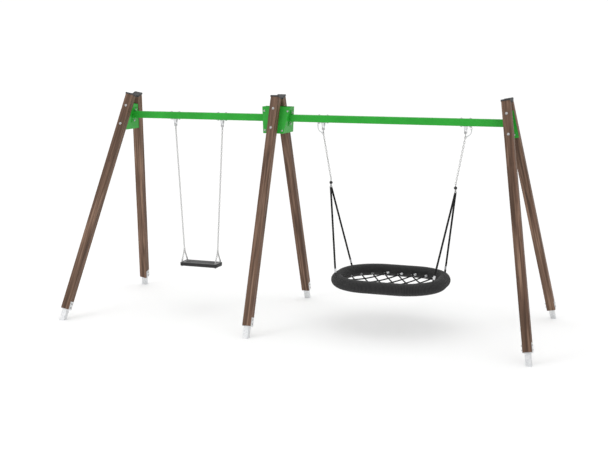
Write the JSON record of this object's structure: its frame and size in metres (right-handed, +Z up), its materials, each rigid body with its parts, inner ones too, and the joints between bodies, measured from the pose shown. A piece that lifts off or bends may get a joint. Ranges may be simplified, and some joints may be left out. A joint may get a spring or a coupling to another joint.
{
  "type": "swing set",
  "caption": "Playground swing set: timber A-frames carry steel beams with a flat rubber seat on chains and an oval net nest seat on ropes.",
  "frame": {"origin": "on the ground, midway between the two outer pairs of feet, under the beams", "axes": "+X along the beams from the flat seat's bay to the nest's bay, +Y to the back, +Z up"},
  "size_m": [5.4836, 2.1002, 2.6288],
  "materials": {
    "timber": "dark brown impregnated laminated timber, satin",
    "green_paint": "leaf green powder coat on steel, semi-gloss",
    "zinc": "hot-dip galvanised steel, dull grey",
    "bright_steel": "stainless steel, bright satin",
    "chain_steel": "stainless chain",
    "black_plastic": "black moulded plastic, satin",
    "seat_rubber": "black moulded rubber, matt",
    "black_rope": "black polypropylene rope",
    "braid_cover": "black rope braided closely round the ring",
    "foam": "closed-cell foam, hidden under the cover",
    "press_aluminium": "pressed aluminium sleeves"
  },
  "bodies": {
    "frame": {"beam_bolts": "bright_steel", "beam_left": "green_paint", "beam_right": "green_paint", "box_bolts": "bright_steel", "box_plate_back": "green_paint", "box_plate_front": "green_paint", "box_side_left": "green_paint", "box_side_right": "green_paint", "bracket_left": "green_paint", "bracket_right": "green_paint", "hanger_bolts": "bright_steel", "hanger_pins": "bright_steel", "hangers_flat": "zinc", "hangers_nest": "zinc", "leg_bolts": "bright_steel", "leg_caps": "black_plastic", "leg_left_back": "timber", "leg_left_front": "timber", "leg_middle_back": "timber", "leg_middle_front": "timber", "leg_right_back": "timber", "leg_right_front": "timber", "safety_loops": "zinc", "safety_lugs": "zinc", "shoe_bolts": "bright_steel", "shoe_left_back": "zinc", "shoe_left_front": "zinc", "shoe_middle_back": "zinc", "shoe_middle_front": "zinc", "shoe_right_back": "zinc", "shoe_right_front": "zinc"},
    "flat_chains": {"flat_bushes": "bright_steel", "flat_chain_left": "chain_steel", "flat_chain_right": "chain_steel", "flat_eyes": "bright_steel", "flat_rings": "bright_steel"},
    "flat_seat": {"seat_chains": "chain_steel", "seat_eyes": "bright_steel", "seat_plate": "zinc", "seat_rubber": "seat_rubber"},
    "nest_chains": {"nest_bushes": "bright_steel", "nest_chain_left": "chain_steel", "nest_chain_right": "chain_steel", "nest_eyes": "bright_steel", "swivel_balls": "black_plastic", "swivel_eyes": "bright_steel"},
    "nest_basket": {"nest_core": "foam", "nest_cover": "braid_cover", "nest_ropes_left": "black_rope", "nest_ropes_right": "black_rope", "nest_tube": "zinc", "net_ferrules": "press_aluminium", "net_over": "black_rope", "net_under": "black_rope", "rope_anchors": "zinc", "rope_clevises": "bright_steel", "rope_ferrules": "press_aluminium", "rope_sleeves": "black_plastic"}
  },
  "joints": [
    {"name": "flat_swing", "type": "hinge", "parent": "frame", "child": "flat_chains", "pos_m": [-1.3865, 0, 2.242], "axis": [1, 0, 0], "range_deg": [-55, 55]},
    {"name": "seat_rock", "type": "hinge", "parent": "flat_chains", "child": "flat_seat", "pos_m": [-1.3865, 0, 0.728], "axis": [1, 0, 0], "range_deg": [-25, 25]},
    {"name": "nest_swing", "type": "hinge", "parent": "frame", "child": "nest_chains", "pos_m": [0.9885, 0, 2.242], "axis": [1, 0, 0], "range_deg": [-45, 45], "deforming": ["safety_loops"]},
    {"name": "nest_rock", "type": "hinge", "parent": "nest_chains", "child": "nest_basket", "pos_m": [0.9885, 0, 1.601], "axis": [1, 0, 0], "range_deg": [-20, 20]}
  ]
}
